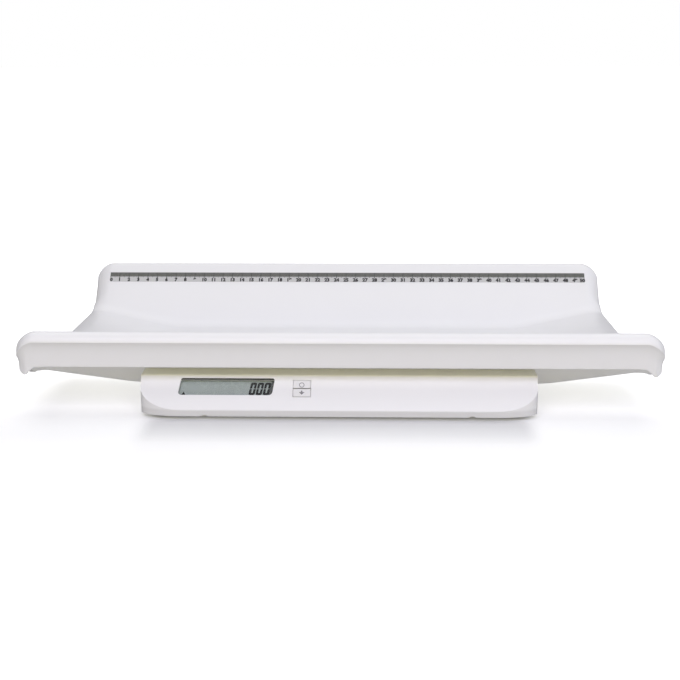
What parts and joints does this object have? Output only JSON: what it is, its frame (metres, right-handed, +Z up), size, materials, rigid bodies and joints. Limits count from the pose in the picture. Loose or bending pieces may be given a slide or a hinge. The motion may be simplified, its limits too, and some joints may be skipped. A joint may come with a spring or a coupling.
{
  "type": "digital baby scale",
  "caption": "Low baby weighing scale: a long open trough tray with a printed ruler along its back wall, on a base with a sloping display console, soft keys and load-sensing feet.",
  "frame": {"origin": "centre of the footprint, on the table under the feet", "axes": "+X along the tray to the right as seen from the display side, +Y away from the display, +Z up"},
  "size_m": [0.531, 0.31, 0.074],
  "materials": {
    "shell_white": "satin moulded",
    "ruler_print": "printed film",
    "screw_steel": "zinc plated",
    "cover_grey": "fine matt moulded",
    "clear_window": "clear",
    "display_glass": "grey-green display",
    "black_rubber": "matt",
    "board_green": "solder mask",
    "chip_black": "matt",
    "socket_cream": "matt",
    "key_white": "satin moulded",
    "cell_jacket": "gloss sleeve",
    "contact_nickel": "nickel plated",
    "lead_red": "insulated lead",
    "lead_black": "insulated lead",
    "foot_rubber": "matt",
    "sensor_steel": "stamped"
  },
  "bodies": {
    "scale": {"tray": "shell_white", "ruler_strip": "ruler_print", "tray_bosses": "shell_white", "tray_screws": "screw_steel", "base_shell": "shell_white", "base_bottom": "cover_grey", "housing_screws": "screw_steel", "lcd_window": "clear_window", "lcd_glass": "display_glass", "lcd_frame": "cover_grey", "zebra_strip": "black_rubber", "main_board": "board_green", "board_screws": "screw_steel", "controller_chip": "chip_black", "lead_socket": "socket_cream", "switch_bodies": "chip_black", "battery_cells": "cell_jacket", "battery_contacts": "contact_nickel", "sensor_leads": "lead_red", "battery_leads": "lead_black", "foot_pad_front_left": "foot_rubber", "foot_pad_front_right": "foot_rubber", "foot_pad_back_left": "foot_rubber", "foot_pad_back_right": "foot_rubber", "foot_cup_front_left": "cover_grey", "foot_cup_front_right": "cover_grey", "foot_cup_back_left": "cover_grey", "foot_cup_back_right": "cover_grey", "load_sensor_front_left": "sensor_steel", "load_sensor_front_right": "sensor_steel", "load_sensor_back_left": "sensor_steel", "load_sensor_back_right": "sensor_steel", "sensor_holder_front_left": "cover_grey", "sensor_holder_front_right": "cover_grey", "sensor_holder_back_left": "cover_grey", "sensor_holder_back_right": "cover_grey"},
    "power_key": {"power_key": "key_white", "power_stem": "chip_black"},
    "tare_key": {"tare_key": "key_white", "tare_stem": "chip_black"},
    "battery_door": {"battery_door": "cover_grey"}
  },
  "joints": [
    {"name": "power_key_press", "type": "slide", "parent": "scale", "child": "power_key", "axis": [0, 0.788, -0.6157], "range_m": [0, 0.0005], "stiffness_N_per_m": 1000},
    {"name": "tare_key_press", "type": "slide", "parent": "scale", "child": "tare_key", "axis": [0, 0.788, -0.6157], "range_m": [0, 0.0005], "stiffness_N_per_m": 1000},
    {"name": "battery_door_slide", "type": "slide", "parent": "scale", "child": "battery_door", "axis": [0, 1, 0], "range_m": [0, 0.008]}
  ]
}
